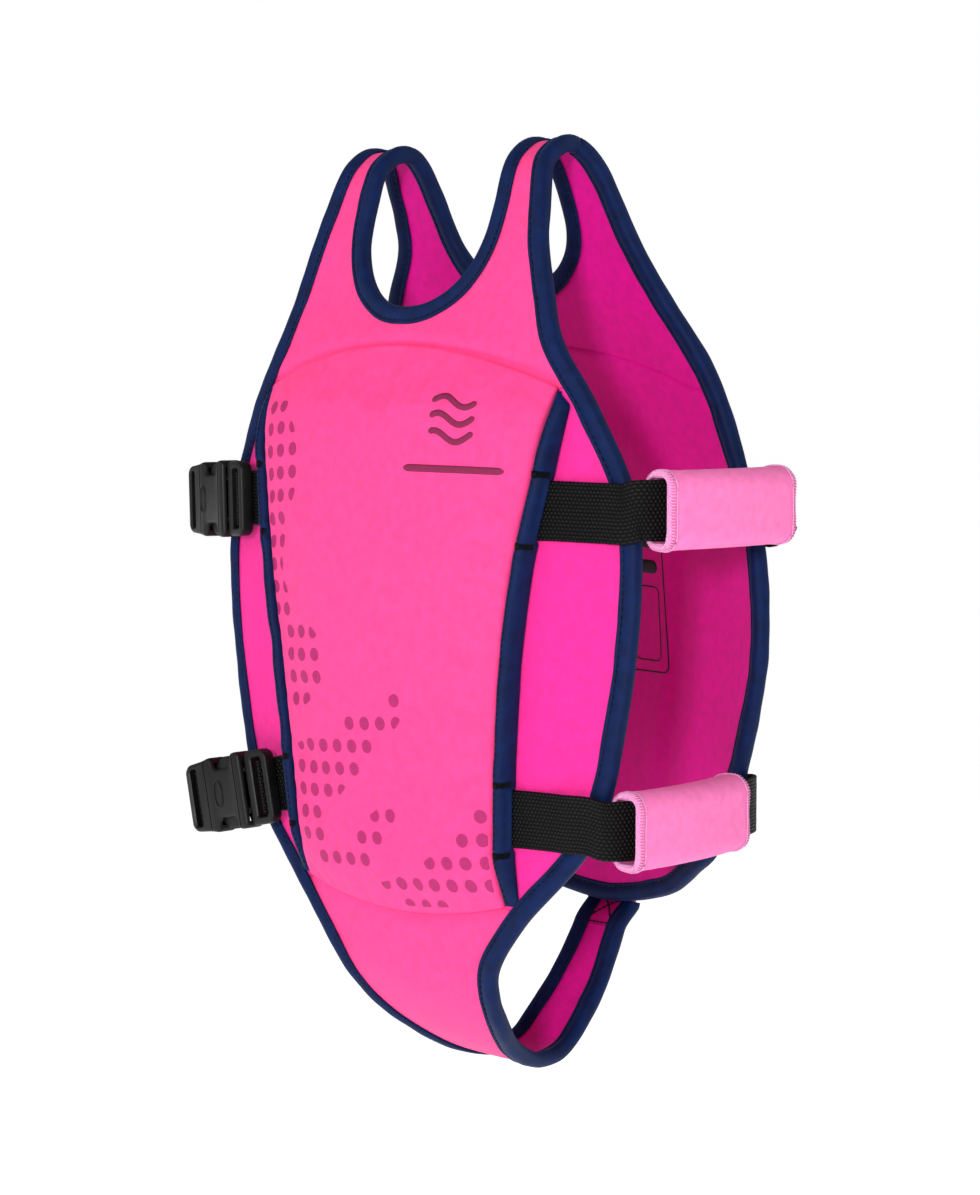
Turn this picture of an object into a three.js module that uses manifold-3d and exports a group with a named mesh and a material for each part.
// Child's neoprene swim vest with sewn-in foam floats, millimetres, +Z up.
// The front faces -Y, +X is the wearer's left. The origin is midway between the two
// shoulder straps, level with their undersides, where the vest rests on the wearer.
import * as THREE from 'three';
import { mergeVertices } from 'three/addons/utils/BufferGeometryUtils.js';
import Module from 'manifold-3d';

const wasm = await Module();
wasm.setup();

// ---- driving dimensions ----------------------------------------------------------------

const CLOTH = 1.5;            // half the thickness of a neoprene panel
const GAP = 0.3;              // clearance between sewn pieces that touch
const FOAM_RISE = 6.3;        // how far the float lifts its cover
const COVER = 1.5;            // thickness of the float's cover
const COVER_BASE = 1.9;       // underside of the cover above the panel's middle, at its seams
const FOAM_SHARE = 0.93;      // how much of the cover's rise the foam fills
const FOAM_INSET = 4;         // margin between the foam and the float's seams
const SEAM_GAP = 0.15;        // half the clearance along a seam across the vest
const SIDE_GAP = 0.7;         // clearance between a float and the wings beside it
const STRIP_WIDTH = 7;        // edging strip down each side of a float
const STRIP_TOP = 10;         // height of the strip's crest above the panel's middle
const SEAM_RAMP = 30;         // distance over which a float reaches its full thickness
const BINDING_WIDTH = 8.5;    // folded edge binding
const BINDING_HALF = 3.6;     // half its thickness
const BINDING_SLOT = 2.8;     // half the slot that takes the cloth
const TUCK = 3;               // the cloth stops this far inside the binding's outer edge

const WEBBING_WIDTH = 24;     // nominal 25 mm webbing
const WEBBING = 1.6;
const WEB_LIFT = 3.1;         // middle of the webbing above the panel's middle, at a strip
const UPPER_STRAP = -146;     // height of the two side straps
const LOWER_STRAP = -272;

const SLEEVE_RADIUS = 180;    // arc of the neoprene sleeve, seen from above
const SLEEVE_SWEEP = 23.08;   // degrees of that arc
const SLEEVE_HALF = [8.5, 15.6];   // half thickness and half height outside
const SLEEVE_WALL = 2.4;

const BUCKLE_LENGTH = 38;     // female half, from mouth to end bar
const BUCKLE_THICK = 10.5;
const FRAME_START = 0.9;      // male half's frame, measured from the mouth
const FRAME_END = 15.5;
const FRAME_THICK = 6;
const BUCKLE_LIFT = 10;       // middle of a buckle above the panel's middle

// Middle of the cloth from the top of the shoulder down the front, under the crotch and up
// to the back hem: [y, z, bow, half width]. A point off the middle sits bow * x * x further
// in. The first and last entries only steer the curve's ends.
const FRONT_LINE = [
  [11, -2.5, 0, 62],
  [4, 1.5, 0, 62], [-4, 1.5, 0, 62], [-11, -2.5, 0, 62], [-16, -8.5, 0, 63],
  [-21, -23.5, 0, 66.4], [-26, -38.5, 0.0001, 70], [-33, -58.5, 0.0008, 76.7],
  [-40.5, -78.5, 0.0013, 85.7], [-45, -103.5, 0.0015, 102.5], [-48.5, -138.5, 0.0016, 119],
  [-49.5, -178.5, 0.0015, 122.9], [-47, -228.5, 0.0014, 117], [-43.5, -278.5, 0.0013, 102.5],
  [-40.5, -317.5, 0.0013, 67], [-37, -338.5, 0.0014, 51], [-30, -353.5, 0.0015, 45],
  [-16.6, -368.5, 0.0016, 38.4], [0, -380.5, 0.0016, 29.5], [17, -388.5, 0.0016, 23.5],
  [32, -390.5, 0.0016, 20], [44, -387.5, 0.0016, 18.5], [54.5, -378.5, 0.0016, 18],
  [68, -363.5, 0.0016, 16.5], [80.5, -343.5, 0.0016, 14.5], [86.5, -329.5, 0.0016, 14.5],
  [89, -322, 0.0016, 14.5],
];
const BACK_LINE = [
  [-4, 1.5, 0, 61],
  [4, 1.5, 0, 61], [9.6, -2.5, 0, 63.5], [15, -10.5, 0, 66], [21.5, -23.5, 0, 68],
  [27.4, -38.5, 0, 72], [34, -61.5, 0.0002, 85], [48, -88.5, 0.0007, 100.5],
  [62, -118.5, 0.0014, 111.5], [76, -158.5, 0.0019, 120], [81.5, -208.5, 0.0022, 122],
  [82.5, -258.5, 0.0024, 105.5], [84.5, -298.5, 0.0024, 77.5], [86.5, -329.5, 0.0024, 77.5],
  [87, -340, 0.0024, 77.5],
];
const REAR_SEAM = 23.2;       // station on FRONT_LINE where the crotch strap meets its tab
// Edge of the back hem, [x, z], from the side to the middle.
const BACK_HEM = [[77.5, -298.5], [63.5, -308.3], [47.4, -319], [31, -324.7], [16, -328],
  [0, -329.9]];

// Half width of the floats at each height, [z, x], the same on the front and the back.
const FLOAT_SIDE = [[-93.5, 86], [-128.5, 80], [-168.5, 72], [-208.5, 65.6], [-248.5, 61.5],
  [-288.5, 58.8], [-330, 60]];

// Right-hand half of the neck opening's edge, [x, z], from the shoulder to the middle.
const FRONT_NECK = [[36.8, -8.5], [37, -16], [37, -23.5], [36.5, -31], [35, -38.5], [32, -46],
  [27.5, -52.5], [22, -57.5], [17, -60.6], [12.5, -62.6], [8.5, -63.7], [4, -64.4], [0, -64.5]];
const BACK_NECK = [[36, -10.5], [35.5, -17], [35, -24], [34, -31], [32, -37], [28.5, -42.5],
  [24, -47], [19.5, -49.8], [15, -51.6], [11, -52.6], [7.5, -53.1], [4, -53.4], [0, -53.5]];

// Heights of the rows that the yokes and the wings take down the armholes and the sides.
const ARMHOLE_ROWS = [-8.5, -16, -23.5, -33, -46, -61, -78, -94];
const WING_TOP = -97;
const WING_BOTTOM = { front: -309.2, back: -297.8 };
const STRIP_BOTTOM = { front: -305, back: -296 };
const ARCH_HALF = 86;         // half width of the floats' arched top seam
const ARCH_TOP = -80.5;
const ARCH_DROP = 15;

const PINK = 0xff4f9f;
const DEEP_PINK = 0xe93a9c;
const SLEEVE_PINK = 0xff80c0;
const FOAM_WHITE = 0xe8e4da;
const NAVY = 0x0a2450;
const BLACK = 0x161616;

// ---- the vest's curved surface ---------------------------------------------------------

function blendRow(list, u) {
  const last = list.length - 4;
  const i = Math.min(Math.max(Math.floor(u), 0), last);
  const f = u - i;
  return list[0].map((_, k) => {
    const [a, b, c, d] = [list[i][k], list[i + 1][k], list[i + 2][k], list[i + 3][k]];
    return b + 0.5 * f * (c - a + f * (2 * a - 5 * b + 4 * c - d + f * (3 * (b - c) + d - a)));
  });
}

function blendTable(table, key) {
  const rising = table[0][0] < table[1][0] ? 1 : -1;
  let i = 0;
  while (i < table.length - 2 && (key - table[i + 1][0]) * rising > 0) i += 1;
  const f = (key - table[i][0]) / (table[i + 1][0] - table[i][0]);
  return table[i][1] + THREE.MathUtils.clamp(f, 0, 1) * (table[i + 1][1] - table[i][1]);
}

// out is the sign that makes a face's normal point away from the wearer.
const FRONT = { line: FRONT_LINE, out: 1, first: 1, lowest: 18 };
const BACK = { line: BACK_LINE, out: -1, first: 0, lowest: 12 };

function stationAt(face, z) {
  let [high, low] = [face.first, face.lowest];
  for (let step = 0; step < 40; step += 1) {
    const middle = (high + low) / 2;
    if (blendRow(face.line, middle)[1] > z) high = middle;
    else low = middle;
  }
  return (high + low) / 2;
}

// A point on the middle of the cloth: station u on the line, x across.
function clothPoint(face, u, x) {
  const [y, z, bow] = blendRow(face.line, u);
  const [y0, z0] = blendRow(face.line, u - 0.01);
  const [y1, z1] = blendRow(face.line, u + 0.01);
  const inward = bow * x * x / Math.hypot(y1 - y0, z1 - z0);
  return new THREE.Vector3(x, y - face.out * inward * (z1 - z0), z + face.out * inward * (y1 - y0));
}

function normalAt(face, u, x) {
  const down = clothPoint(face, u + 0.05, x).sub(clothPoint(face, u - 0.05, x));
  const across = clothPoint(face, u, x + 1).sub(clothPoint(face, u, x - 1));
  return down.cross(across).multiplyScalar(face.out).normalize();
}

// A point t outward from the cloth's middle.
const onVest = (face, u, x, t) => clothPoint(face, u, x).addScaledVector(normalAt(face, u, x), t);

const atHeight = (face, x, z, t) => onVest(face, stationAt(face, z), x, t);
const halfWidth = (face, u) => blendRow(face.line, u)[3];
const floatSide = (z) => blendTable(FLOAT_SIDE, z);
const archSeam = (x) => ARCH_TOP - ARCH_DROP * (x / ARCH_HALF) ** 2;
const bowedSeam = (middle) => (x) => middle + 8 * Math.min(1, (x / 62) ** 2);
const lowerSeam = bowedSeam(-317.5);
const hemSeam = bowedSeam(-306);

function rise(x, z, bottom) {
  const depth = Math.min(archSeam(x) - z, z - bottom(x));
  return Math.sin(Math.min(Math.max(depth, 0) / SEAM_RAMP, 1) * Math.PI / 2);
}

// ---- closed solids ---------------------------------------------------------------------

function solid(points, faces) {
  const geometry = new THREE.BufferGeometry();
  const coordinates = points.flatMap((point) => point.toArray());
  geometry.setAttribute('position', new THREE.Float32BufferAttribute(coordinates, 3));
  let volume = 0;
  for (const [a, b, c] of faces) {
    volume += points[a].dot(new THREE.Vector3().crossVectors(points[b], points[c]));
  }
  const outward = volume > 0 ? faces : faces.map(([a, b, c]) => [a, c, b]);
  geometry.setIndex(outward.flat());
  geometry.computeVertexNormals();
  return geometry;
}

// A sheet of cloth or foam between two skins. place(f, g, skin) gives each point.
function sheet(columns, rows, place) {
  const points = [];
  for (const skin of [0, 1]) {
    for (let r = 0; r <= rows; r += 1) {
      for (let c = 0; c <= columns; c += 1) points.push(place(c / columns, r / rows, skin));
    }
  }
  const across = columns + 1;
  const layer = across * (rows + 1);
  const faces = [];
  const quad = (a, b, c, d) => faces.push([a, b, c], [a, c, d]);
  for (let r = 0; r < rows; r += 1) {
    for (let c = 0; c < columns; c += 1) {
      const a = r * across + c;
      quad(a, a + 1, a + across + 1, a + across);
      quad(layer + a, layer + a + across, layer + a + across + 1, layer + a + 1);
    }
  }
  const wall = (a, b) => quad(b, a, layer + a, layer + b);
  for (let c = 0; c < columns; c += 1) {
    wall(c, c + 1);
    wall(rows * across + c + 1, rows * across + c);
  }
  for (let r = 0; r < rows; r += 1) {
    wall((r + 1) * across, r * across);
    wall(r * across + columns, (r + 1) * across + columns);
  }
  return solid(points, faces);
}

// A section carried along a route. Each station is the section's points in order.
function loft(stations, outline, closed) {
  const count = outline.length;
  const points = stations.flat();
  const faces = [];
  const spans = closed ? stations.length : stations.length - 1;
  for (let s = 0; s < spans; s += 1) {
    const next = ((s + 1) % stations.length) * count;
    for (let k = 0; k < count; k += 1) {
      const [a, b] = [s * count + k, s * count + (k + 1) % count];
      const [c, d] = [next + (k + 1) % count, next + k];
      faces.push([a, b, c], [a, c, d]);
    }
  }
  if (!closed) {
    const flat = outline.map(([a, b]) => new THREE.Vector2(a, b));
    const end = (stations.length - 1) * count;
    const turned = THREE.ShapeUtils.isClockWise(flat);
    for (const [a, b, c] of THREE.ShapeUtils.triangulateShape(flat, [])) {
      faces.push(turned ? [a, b, c] : [a, c, b]);
      faces.push(turned ? [end + a, end + c, end + b] : [end + a, end + b, end + c]);
    }
  }
  return solid(points, faces);
}

function toManifold(geometry) {
  const bare = geometry.clone();
  bare.deleteAttribute('normal');
  bare.deleteAttribute('uv');
  const merged = mergeVertices(bare, 1e-4);
  return new wasm.Manifold(new wasm.Mesh({
    numProp: 3,
    vertProperties: new Float32Array(merged.attributes.position.array),
    triVerts: new Uint32Array(merged.index.array),
  }));
}

function fromManifold(body) {
  const mesh = body.getMesh();
  const geometry = new THREE.BufferGeometry();
  geometry.setAttribute('position', new THREE.Float32BufferAttribute(mesh.vertProperties, 3));
  geometry.setIndex([...mesh.triVerts]);
  geometry.computeVertexNormals();
  return geometry;
}

// ---- assembly --------------------------------------------------------------------------

const vest = new THREE.Group();

function add(name, geometry, color, roughness, parent = vest) {
  const material = new THREE.MeshStandardMaterial({ color, roughness, metalness: 0 });
  const mesh = new THREE.Mesh(geometry, material);
  mesh.name = name;
  parent.add(mesh);
}

const SIDES = [['left', 1], ['right', -1]];

// ---- floats: lining, foam and cover ----------------------------------------------------

// Rows gather towards the seams, where the float's thickness changes fastest.
function floatSheet(face, bottom, inset, low, high) {
  return sheet(8, 10, (f, g, skin) => {
    const across = 2 * f - 1;
    const top = archSeam(across * ARCH_HALF) - inset;
    const base = bottom(across * 60) + inset;
    const z = top + 0.5 * (1 - Math.cos(g * Math.PI)) * (base - top);
    const x = across * (floatSide(z) - SIDE_GAP);
    return atHeight(face, x, z, (skin ? high : low)(rise(x, z, bottom)));
  });
}

function addFloat(prefix, face, bottom) {
  const coverBase = (share) => COVER_BASE + FOAM_RISE * share;
  const coverTop = (share) => coverBase(share) + COVER;
  const foamBase = () => CLOTH + GAP;
  const foamTop = (share) => coverBase(FOAM_SHARE * share) - GAP;
  const lining = floatSheet(face, bottom, SEAM_GAP, () => -CLOTH, () => CLOTH);
  add(`${prefix}_lining`, lining, DEEP_PINK, 0.9);
  add(`${prefix}_foam`, floatSheet(face, bottom, FOAM_INSET, foamBase, foamTop), FOAM_WHITE, 0.9);
  add(`${prefix}_float_cover`, floatSheet(face, bottom, SEAM_GAP, coverBase, coverTop), PINK, 0.85);
}

// ---- yokes: both shoulder straps and the bridge below the neck --------------------------

// The same path moved sideways, away from the neck opening.
function pushed(path, distance) {
  return path.map(([x, z], i) => {
    const [before, after] = [path[Math.max(i - 1, 0)], path[Math.min(i + 1, path.length - 1)]];
    const [dx, dz] = [after[0] - before[0], after[1] - before[1]];
    const length = Math.hypot(dx, dz);
    return [x - distance * dz / length, z + distance * dx / length];
  });
}

// Columns run from the neck's edge to the armhole's, then to the arched seam below.
function addYoke(name, face, neck, shoulderStations) {
  const rowsAcross = 5;
  const inner = pushed(neck, TUCK);
  const lower = face === BACK ? 1 : 0;
  const outer = ARMHOLE_ROWS.map((row) => {
    const z = row - lower;
    return [halfWidth(face, stationAt(face, z)) - TUCK, z];
  });
  for (const part of [1, 0.75, 0.5, 0.25, 0]) {
    const x = part * ARCH_HALF;
    outer.push([x, archSeam(x) + SEAM_GAP]);
  }
  const right = shoulderStations.map((u) => [[u, neck[0][0] + TUCK], [u, halfWidth(face, u) - TUCK]]);
  inner.forEach(([x, z], i) => {
    right.push([[stationAt(face, z), x], [stationAt(face, outer[i][1]), outer[i][0]]]);
  });
  const left = right.slice(0, -1).reverse().map((pair) => pair.map(([u, x]) => [u, -x]));
  const columns = [...right, ...left];
  add(name, sheet(columns.length - 1, rowsAcross, (f, g, skin) => {
    const [[u0, x0], [u1, x1]] = columns[Math.round(f * (columns.length - 1))];
    return onVest(face, u0 + g * (u1 - u0), x0 + g * (x1 - x0), skin ? CLOTH : -CLOTH);
  }), PINK, 0.85);
}

// ---- wings, lower panels, crotch strap --------------------------------------------------

function addWing(name, face, side, bottom) {
  add(name, sheet(3, 12, (f, g, skin) => {
    const z = WING_TOP + g * (bottom - WING_TOP);
    const inner = floatSide(z) + GAP;
    const outer = halfWidth(face, stationAt(face, z)) - TUCK;
    return atHeight(face, side * (inner + f * (outer - inner)), z, skin ? CLOTH : -CLOTH);
  }), DEEP_PINK, 0.85);
}

function addCrotchStrap() {
  const seamHalf = 70;
  const seamGap = 0.8;
  add('crotch_strap', sheet(6, 18, (f, g, skin) => {
    const across = 2 * f - 1;
    const start = stationAt(FRONT, lowerSeam(across * seamHalf) - seamGap);
    const u = start + g * (REAR_SEAM - start);
    return onVest(FRONT, u, across * (halfWidth(FRONT, u) - TUCK), skin ? CLOTH : -CLOTH);
  }), PINK, 0.85);
}

// The tab steps outward to lie over the back hem, where it is sewn down.
function addRearTab() {
  const from = REAR_SEAM + 0.03;
  const to = 24.6;
  const half = 11.5;
  const lift = 6;
  const step = 0.4;
  add('rear_tab', sheet(3, 5, (f, g, skin) => {
    const outward = lift * Math.min(1, g / step) + (skin ? CLOTH : -CLOTH);
    return onVest(FRONT, from + g * (to - from), (2 * f - 1) * half, outward);
  }), PINK, 0.85);
}

function addHemPanel() {
  const half = 72;
  const edge = TUCK + 0.5;
  add('back_hem_panel', sheet(10, 2, (f, g, skin) => {
    const x = (2 * f - 1) * half;
    const top = hemSeam(x) - SEAM_GAP;
    const base = Math.min(blendTable(BACK_HEM, Math.abs(x)) + edge, top - 1);
    return atHeight(BACK, x, top + g * (base - top), skin ? CLOTH : -CLOTH);
  }), DEEP_PINK, 0.85);
}

// ---- edge binding ------------------------------------------------------------------------

const BINDING_OUTLINE = [
  [0, -BINDING_HALF], [BINDING_WIDTH, -BINDING_HALF], [BINDING_WIDTH, -BINDING_SLOT],
  [CLOTH, -BINDING_SLOT], [CLOTH, BINDING_SLOT], [BINDING_WIDTH, BINDING_SLOT],
  [BINDING_WIDTH, BINDING_HALF], [0, BINDING_HALF],
];

// path holds {face, u, x}; inward is +1 when the cloth lies to the left of the path.
function binding(path, inward, closed = false) {
  const middle = path.map(({ face, u, x }) => clothPoint(face, u, x));
  const last = path.length - 1;
  const stations = path.map(({ face, u, x }, i) => {
    const before = middle[i > 0 ? i - 1 : (closed ? last : 0)];
    const after = middle[i < last ? i + 1 : (closed ? 0 : last)];
    const along = after.clone().sub(before);
    const up = normalAt(face, u, x);
    const inside = new THREE.Vector3().crossVectors(up, along).normalize().multiplyScalar(inward);
    return BINDING_OUTLINE.map(([a, b]) => (
      middle[i].clone().addScaledVector(inside, a).addScaledVector(up, b)
    ));
  });
  return loft(stations, BINDING_OUTLINE, closed);
}

// Stations from one to the other, closer together within the tight stretch.
function stationsBetween(from, to, tight) {
  const list = [];
  for (let u = from; u < to; u += u >= tight[0] && u < tight[1] ? 0.25 : 0.5) list.push(u);
  return list;
}

function addEdgeBinding(name, side) {
  const path = [{ face: FRONT, u: 0.2, x: side * 62 }];
  for (const u of stationsBetween(1, REAR_SEAM, [9, 13])) {
    path.push({ face: FRONT, u, x: side * halfWidth(FRONT, u) });
  }
  add(name, binding(path, -side), NAVY, 0.75);
}

function addBackBinding() {
  const half = stationsBetween(0, 11, [5, 7]).map((station) => {
    const u = Math.max(station, 0.05);
    return { face: BACK, u, x: halfWidth(BACK, u) };
  });
  for (const [x, z] of BACK_HEM) half.push({ face: BACK, u: stationAt(BACK, z), x });
  const other = half.slice(0, -1).reverse().map(({ face, u, x }) => ({ face, u, x: -x }));
  add('back_edge_binding', binding([...half, ...other], 1), NAVY, 0.75);
}

function addNeckBinding() {
  const quarter = (face, neck) => neck.map(([x, z]) => ({ face, u: stationAt(face, z), x }));
  const front = [
    { face: FRONT, u: 0, x: 36.4 }, { face: FRONT, u: 1, x: 36.4 }, { face: FRONT, u: 2, x: 36.6 },
    ...quarter(FRONT, FRONT_NECK),
  ];
  const back = [...quarter(BACK, BACK_NECK).reverse(), { face: BACK, u: 1, x: 36.3 }];
  const flip = (list) => list.map(({ face, u, x }) => ({ face, u, x: -x })).reverse();
  const path = [...front, ...flip(front).slice(1), ...flip(back), ...back.slice(1)];
  add('neck_binding', binding(path, 1, true), NAVY, 0.75);
}

// ---- float edging strips -----------------------------------------------------------------

// [distance across, share of the crest's height]. The strip bridges each strap in a tunnel.
const STRIP_PROFILE = [[0, 0], [0, 0.83], [1.2, 1], [4.2, 0.95], [6, 0.57], [STRIP_WIDTH, 0]];
const STRIP_THIN = 0.5;       // least thickness of a strip over a tunnel
const TUNNEL_HALF = WEBBING_WIDTH / 2 + 1;
const TUNNEL_STEP = 0.6;
const TUNNEL_ROOF = WEB_LIFT + WEBBING / 2 + 1.3;

function stripHeights(bottomZ) {
  const beside = (strap) => [TUNNEL_HALF + TUNNEL_STEP, TUNNEL_HALF, 0, -TUNNEL_HALF,
    -TUNNEL_HALF - TUNNEL_STEP].map((offset) => strap + offset);
  const lowest = beside(LOWER_STRAP).at(-1);
  return [-104, -112, -122, ...beside(UPPER_STRAP), -175, -192, -210, -228, -244,
    ...beside(LOWER_STRAP), (lowest + bottomZ) / 2, bottomZ];
}

function addFloatStrip(name, face, side, bottomZ, bottom) {
  const stations = stripHeights(bottomZ).map((z) => {
    const overStrap = [UPPER_STRAP, LOWER_STRAP].some((strap) => Math.abs(z - strap) < TUNNEL_HALF + GAP);
    const base = overStrap ? TUNNEL_ROOF : COVER_BASE;
    const x = floatSide(z);
    const crest = (STRIP_TOP - COVER_BASE) * rise(x, z, bottom);
    return STRIP_PROFILE.map(([across, level]) => {
      const t = level === 0 ? base : Math.max(COVER_BASE + level * crest, base + STRIP_THIN);
      return atHeight(face, side * (x + across), z, t);
    });
  });
  add(name, loft(stations, STRIP_PROFILE, false), NAVY, 0.75);
}

// ---- webbing -------------------------------------------------------------------------------

// A flat strap through pins {at, up}: up is the way its width runs.
function webbing(pins, steps) {
  const route = new THREE.CatmullRomCurve3(pins.map(({ at }) => at), false, 'centripetal');
  const outline = [[-WEBBING_WIDTH / 2, -WEBBING / 2], [WEBBING_WIDTH / 2, -WEBBING / 2],
    [WEBBING_WIDTH / 2, WEBBING / 2], [-WEBBING_WIDTH / 2, WEBBING / 2]];
  const stations = [];
  for (let i = 0; i <= steps; i += 1) {
    const along = route.getTangentAt(i / steps);
    const place = route.getUtoTmapping(i / steps) * (pins.length - 1);
    const k = Math.min(Math.floor(place), pins.length - 2);
    const up = pins[k].up.clone().lerp(pins[k + 1].up, place - k);
    up.addScaledVector(along, -along.dot(up)).normalize();
    const out = new THREE.Vector3().crossVectors(up, along);
    const middle = route.getPointAt(i / steps);
    stations.push(outline.map(([a, b]) => middle.clone().addScaledVector(up, a).addScaledVector(out, b)));
  }
  return loft(stations, outline, false);
}

const UPRIGHT = new THREE.Vector3(0, 0, 1);

// A pin that lies on the vest, with the strap flat against the cloth.
function pinOn(face, x, z, t) {
  const up = atHeight(face, x, z + 5, t).sub(atHeight(face, x, z - 5, t)).normalize();
  return { at: atHeight(face, x, z, t), up };
}

function strapEnd(face, side, z, edgePins) {
  const start = floatSide(z) + 3.2;
  const sewn = [[start, WEB_LIFT], [start + 4, WEB_LIFT + 0.3], ...edgePins];
  return sewn.map(([x, t]) => pinOn(face, side * x, z, t));
}

// ---- neoprene sleeves on the wearer's left ---------------------------------------------------

function roundedOutline([a, b], radius, perCorner) {
  const points = [];
  [[1, 1], [-1, 1], [-1, -1], [1, -1]].forEach(([sx, sy], corner) => {
    for (let i = 0; i <= perCorner; i += 1) {
      const angle = (corner + i / perCorner) * Math.PI / 2;
      const [dx, dy] = [Math.cos(angle), Math.sin(angle)];
      points.push([sx * (a - radius) + radius * dx, sy * (b - radius) + radius * dy]);
    }
  });
  return points;
}

function sleeve() {
  const outer = roundedOutline(SLEEVE_HALF, 7, 3);
  const inner = roundedOutline(SLEEVE_HALF.map((size) => size - SLEEVE_WALL), 3.2, 3);
  const count = outer.length;
  const steps = 5;
  const points = [];
  for (let s = 0; s <= steps; s += 1) {
    const angle = THREE.MathUtils.degToRad(SLEEVE_SWEEP) * (s / steps - 0.5);
    for (const [a, b] of [...outer, ...inner]) {
      const radius = SLEEVE_RADIUS + a;
      points.push(new THREE.Vector3(radius * Math.cos(angle), radius * Math.sin(angle), b));
    }
  }
  const faces = [];
  const quad = (a, b, c, d) => faces.push([a, b, c], [a, c, d]);
  for (let k = 0; k < count; k += 1) {
    const next = (k + 1) % count;
    for (let s = 0; s < steps; s += 1) {
      const [low, high] = [s * 2 * count, (s + 1) * 2 * count];
      quad(low + k, high + k, high + next, low + next);
      quad(low + count + k, low + count + next, high + count + next, high + count + k);
    }
    const end = steps * 2 * count;
    quad(k, next, count + next, count + k);
    quad(end + k, end + count + k, end + count + next, end + next);
  }
  return solid(points, faces);
}

const SLEEVES = {
  upper: { centre: [-42.7, 7, UPPER_STRAP + 1], turn: 0 },
  lower: { centre: [-59, -14.1, LOWER_STRAP - 0.5], turn: 5.8 },
};

function sleevePoint({ centre, turn }, degrees, offset) {
  const angle = THREE.MathUtils.degToRad(degrees + turn);
  const radius = SLEEVE_RADIUS + offset;
  const middle = new THREE.Vector3(...centre);
  return middle.add(new THREE.Vector3(radius * Math.cos(angle), radius * Math.sin(angle), 0));
}

function addSleeve(level) {
  const { centre, turn } = SLEEVES[level];
  const holder = new THREE.Group();
  holder.position.set(...centre);
  holder.rotation.z = THREE.MathUtils.degToRad(turn);
  add(`${level}_sleeve`, sleeve(), SLEEVE_PINK, 0.85, holder);
  vest.add(holder);
}

// ---- side-release buckles on the wearer's right ------------------------------------------------
// Local axes: x from the female half's end bar to the male half, y up, z outward.

function plate(outline, holes, thickness) {
  const shape = new THREE.Shape(outline.map(([x, y]) => new THREE.Vector2(x, y)));
  for (const hole of holes) shape.holes.push(new THREE.Path(hole.map(([x, y]) => new THREE.Vector2(x, y))));
  const geometry = new THREE.ExtrudeGeometry(shape, { depth: thickness, bevelEnabled: false });
  return geometry.translate(0, 0, -thickness / 2);
}

const slot = (x0, x1, y) => [[x0, -y], [x0, y], [x1, y], [x1, -y]];
const bothHalves = (upper) => [...upper.map(([x, y]) => [x, -y]), ...upper.toReversed()];

function femaleHalf() {
  const outline = bothHalves([[-BUCKLE_LENGTH, 12.5], [-BUCKLE_LENGTH + 2.5, 15], [-26, 15.8], [-20, 17],
    [-18.7, 10.8], [-7.2, 10.8], [-6, 17], [-1.5, 17], [0, 15.5]]);
  const shell = toManifold(plate(outline, [slot(-35, -30.3, 12.8)], BUCKLE_THICK));
  const cavity = new THREE.BoxGeometry(26, 28, 6).translate(-11, 0, 0);
  return fromManifold(shell.subtract(toManifold(cavity)));
}

function maleFrame() {
  const outline = bothHalves([[FRAME_START, 15], [3, 16.5], [FRAME_END - 3, 16.5], [FRAME_END, 14]]);
  return plate(outline, [slot(5.5, 12.5, 13.2)], FRAME_THICK);
}

const PRONG_ROOT = [-1, 8.8, 1.25];   // x, y and radius of the arm's rounded root
const PRONG_THICK = 5;

// One springy arm with its press head; up is +1 for the upper arm, -1 for the lower.
function prong(up) {
  const outline = [];
  const [rootX, rootY, rootRadius] = PRONG_ROOT;
  for (let i = 0; i <= 4; i += 1) {
    const angle = Math.PI / 2 - i * Math.PI / 4;
    outline.push([rootX + rootRadius * Math.cos(angle), rootY + rootRadius * Math.sin(angle)]);
  }
  outline.push([-10, 7.2], [-18.5, 7.4], [-20.5, 9.2], [-18, 13.5], [-14, 15.8], [-9.5, 15.8],
    [-7.6, 14.6], [-7.6, 10.6]);
  return plate(outline.map(([x, y]) => [x, up * y]), [], PRONG_THICK);
}

// Where each buckle's male frame starts beside the float, and which way the strap pulls it.
const BUCKLES = {
  upper: { start: atHeight(FRONT, -90, UPPER_STRAP - 0.8, BUCKLE_LIFT), along: [-0.96, 0.28, -0.05] },
  lower: { start: atHeight(FRONT, -73, LOWER_STRAP + 0.8, BUCKLE_LIFT), along: [-0.976, 0, -0.216] },
};

function buckleHolder({ start, along }) {
  const xAxis = new THREE.Vector3(...along).normalize().negate();
  const yAxis = new THREE.Vector3(0, 0, 1).addScaledVector(xAxis, -xAxis.z).normalize();
  const zAxis = new THREE.Vector3().crossVectors(xAxis, yAxis);
  const holder = new THREE.Group();
  holder.quaternion.setFromRotationMatrix(new THREE.Matrix4().makeBasis(xAxis, yAxis, zAxis));
  holder.position.copy(start).addScaledVector(xAxis, -FRAME_END);
  holder.updateMatrix();
  return holder;
}

function addBuckle(level) {
  const holder = buckleHolder(BUCKLES[level]);
  add(`${level}_buckle_female`, femaleHalf(), BLACK, 0.5, holder);
  add(`${level}_buckle_male`, maleFrame(), BLACK, 0.5, holder);
  add(`${level}_buckle_top_prong`, prong(1), BLACK, 0.5, holder);
  add(`${level}_buckle_bottom_prong`, prong(-1), BLACK, 0.5, holder);
  vest.add(holder);
  const up = new THREE.Vector3(0, 1, 0).applyQuaternion(holder.quaternion);
  return (x, z) => ({ at: new THREE.Vector3(x, 0, z).applyMatrix4(holder.matrix), up });
}

// ---- side straps --------------------------------------------------------------------------

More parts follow.
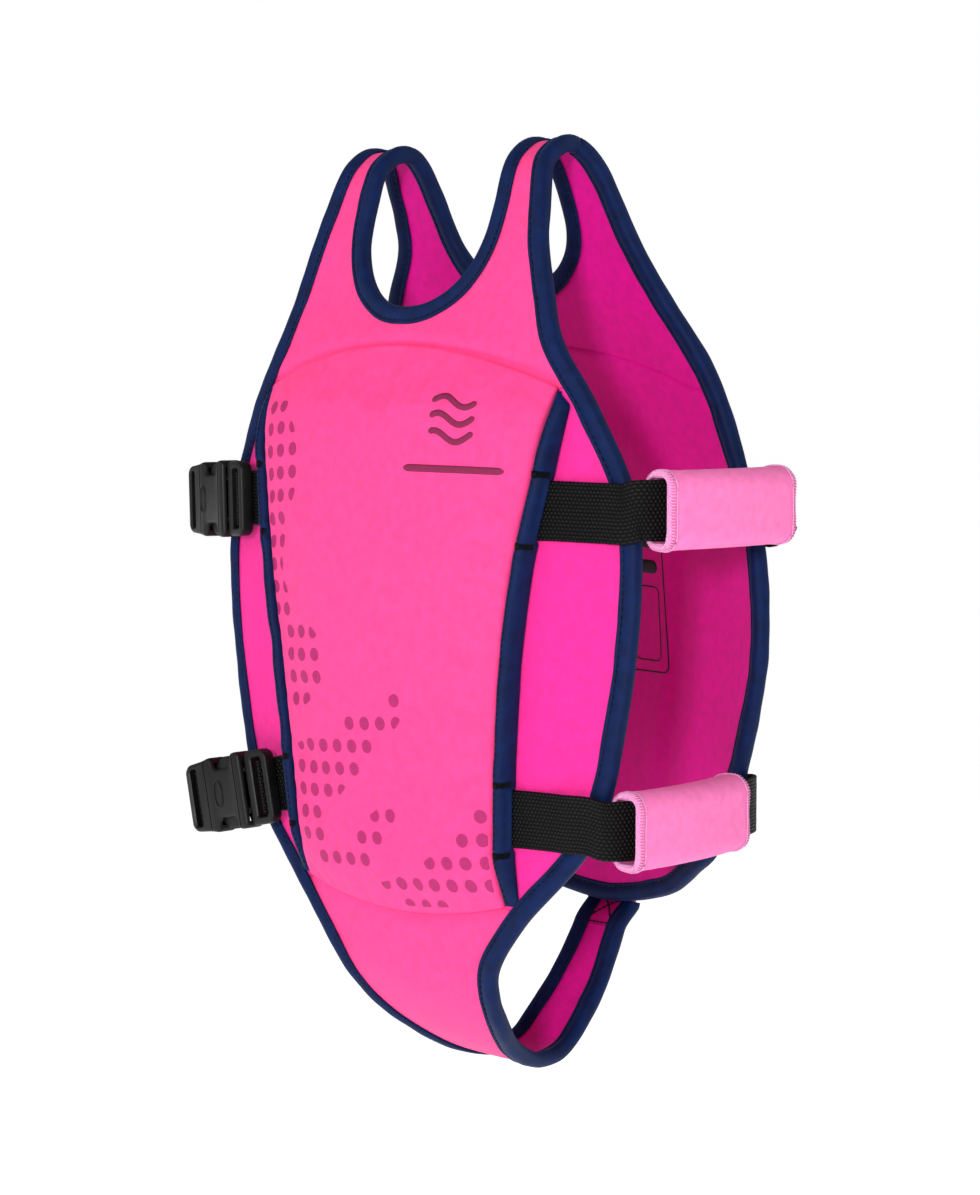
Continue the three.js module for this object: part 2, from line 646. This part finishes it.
// Where each strap crosses the edge binding, [x, height above the cloth's middle], and its
// free points from there to the sleeve or the buckle, [x, y, z].
const ROUTES = {
  upper: {
    frontEdge: [[102, 4.2], [109, 5.5], [117, 6.4]],
    backEdge: [[99, 4.8], [106, 6.6], [113, 8.3]],
    front: [[125.6, -31.6, -145], [130, -28, -145]],
    back: [[130.6, 47.5, -145], [127.5, 54.8, -145.3], [122.3, 59, -145.6]],
    buckle: [[-146, -17, -150], [-148, 2, -149], [-143, 28, -148], [-131, 49, -147], [-121.6, 60.2, -146]],
  },
  lower: {
    frontEdge: [[85, 4.2], [91, 5.5], [102, 6.4]],
    backEdge: [[74, 4.6], [82, 6.2], [94, 7.2]],
    front: [[111.4, -35.6, -272.5], [116.3, -31.5, -272.5]],
    back: [[110.6, 46, -272.5], [109, 57, -272.3], [104, 65.5, -272.2]],
    buckle: [[-133, -41, -283], [-139, -25, -282], [-139, 0, -280], [-131, 30, -277], [-117, 53, -274],
      [-104, 65, -272.5]],
  },
};

function addStraps(level, z) {
  const route = ROUTES[level];
  const free = (list) => list.map((point) => ({ at: new THREE.Vector3(...point), up: UPRIGHT }));
  const inSleeve = [-8.5, -3, 3, 8.5].map((degrees) => sleevePoint(SLEEVES[level], degrees, -1.6).toArray());
  add(`${level}_left_webbing`, webbing([
    ...strapEnd(FRONT, 1, z, route.frontEdge), ...free([...route.front, ...inSleeve, ...route.back]),
    ...strapEnd(BACK, 1, z, route.backEdge).reverse(),
  ], 40), BLACK, 0.8);

  const onBuckle = addBuckle(level);
  add(`${level}_right_front_webbing`, webbing([
    ...strapEnd(FRONT, -1, z, []), onBuckle(17, -4.9), onBuckle(12.4, -4.7), onBuckle(10, -3.3),
    onBuckle(9, -1), onBuckle(8.8, 1.8),
  ], 22), BLACK, 0.8);
  add(`${level}_right_back_webbing`, webbing([
    onBuckle(-32.7, 3.2), onBuckle(-32.7, -4.3), onBuckle(-34.4, -7), onBuckle(-38, -7.8),
    ...free(route.buckle), ...strapEnd(BACK, -1, z, route.backEdge).reverse(),
  ], 40), BLACK, 0.8);
}

// ---- the whole vest -----------------------------------------------------------------------

addFloat('front', FRONT, lowerSeam);
addFloat('back', BACK, hemSeam);
addYoke('front_yoke', FRONT, FRONT_NECK, [0, 1, 2]);
addYoke('back_yoke', BACK, BACK_NECK, [0.06, 1]);
for (const [word, side] of SIDES) {
  addWing(`front_${word}_wing`, FRONT, side, WING_BOTTOM.front);
  addWing(`back_${word}_wing`, BACK, side, WING_BOTTOM.back);
  addFloatStrip(`front_${word}_float_strip`, FRONT, side, STRIP_BOTTOM.front, lowerSeam);
  addFloatStrip(`back_${word}_float_strip`, BACK, side, STRIP_BOTTOM.back, hemSeam);
  addEdgeBinding(`${word}_edge_binding`, side);
}
addCrotchStrap();
addRearTab();
addHemPanel();
addBackBinding();
addNeckBinding();
addStraps('upper', UPPER_STRAP);
addStraps('lower', LOWER_STRAP);
addSleeve('upper');
addSleeve('lower');

export default vest;
